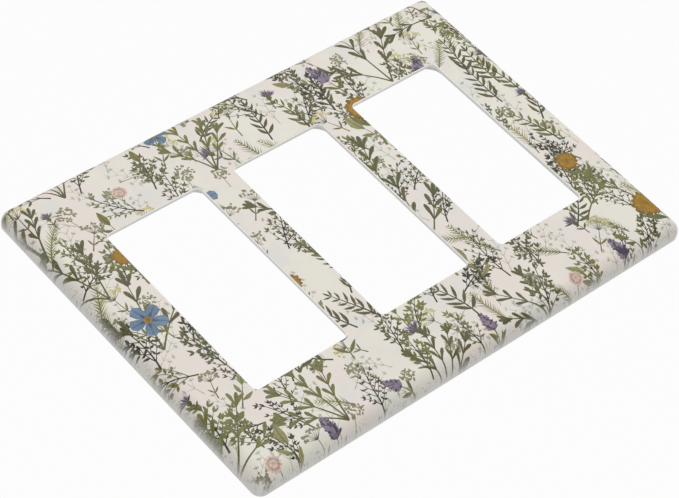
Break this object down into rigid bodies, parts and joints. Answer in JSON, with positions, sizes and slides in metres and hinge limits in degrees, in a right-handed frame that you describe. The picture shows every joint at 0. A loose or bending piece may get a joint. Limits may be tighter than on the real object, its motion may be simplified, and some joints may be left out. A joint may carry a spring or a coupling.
{
  "type": "wall plate cover",
  "caption": "Screwless wall plate for a row of rocker devices: a front cover with rectangular windows that clips over a screwed mounting plate.",
  "frame": {"origin": "centre of the middle window in the plane of the wall, which the back of the mounting plate and the rim of the cover touch", "axes": "+X to the right as mounted, along the row of windows; +Y up as mounted, along the windows; +Z out of the wall, through the windows"},
  "size_m": [0.1634, 0.1172, 0.0193],
  "materials": {
    "printed_cover": "satin, printed with a botanical pattern",
    "plate_plastic": "fine matt moulding",
    "zinc_steel": "bright zinc plate"
  },
  "bodies": {
    "mounting_plate": {"mounting_plate": "plate_plastic"},
    "front_cover": {"front_cover": "printed_cover"},
    "screw_top_left": {"screw_top_left": "zinc_steel"},
    "screw_top_middle": {"screw_top_middle": "zinc_steel"},
    "screw_top_right": {"screw_top_right": "zinc_steel"},
    "screw_bottom_left": {"screw_bottom_left": "zinc_steel"},
    "screw_bottom_middle": {"screw_bottom_middle": "zinc_steel"},
    "screw_bottom_right": {"screw_bottom_right": "zinc_steel"}
  },
  "joints": [
    {"name": "cover_pull_off", "type": "slide", "parent": "mounting_plate", "child": "front_cover", "axis": [0, 0, 1], "range_m": [0, 0.02]},
    {"name": "screw_top_left_turn", "type": "hinge", "parent": "mounting_plate", "child": "screw_top_left", "pos_m": [-0.04604, 0.04842, 0.003], "axis": [0, 0, 1], "continuous": true},
    {"name": "screw_top_middle_turn", "type": "hinge", "parent": "mounting_plate", "child": "screw_top_middle", "pos_m": [0, 0.04842, 0.003], "axis": [0, 0, 1], "continuous": true},
    {"name": "screw_top_right_turn", "type": "hinge", "parent": "mounting_plate", "child": "screw_top_right", "pos_m": [0.04604, 0.04842, 0.003], "axis": [0, 0, 1], "continuous": true},
    {"name": "screw_bottom_left_turn", "type": "hinge", "parent": "mounting_plate", "child": "screw_bottom_left", "pos_m": [-0.04604, -0.04842, 0.003], "axis": [0, 0, 1], "continuous": true},
    {"name": "screw_bottom_middle_turn", "type": "hinge", "parent": "mounting_plate", "child": "screw_bottom_middle", "pos_m": [0, -0.04842, 0.003], "axis": [0, 0, 1], "continuous": true},
    {"name": "screw_bottom_right_turn", "type": "hinge", "parent": "mounting_plate", "child": "screw_bottom_right", "pos_m": [0.04604, -0.04842, 0.003], "axis": [0, 0, 1], "continuous": true}
  ]
}
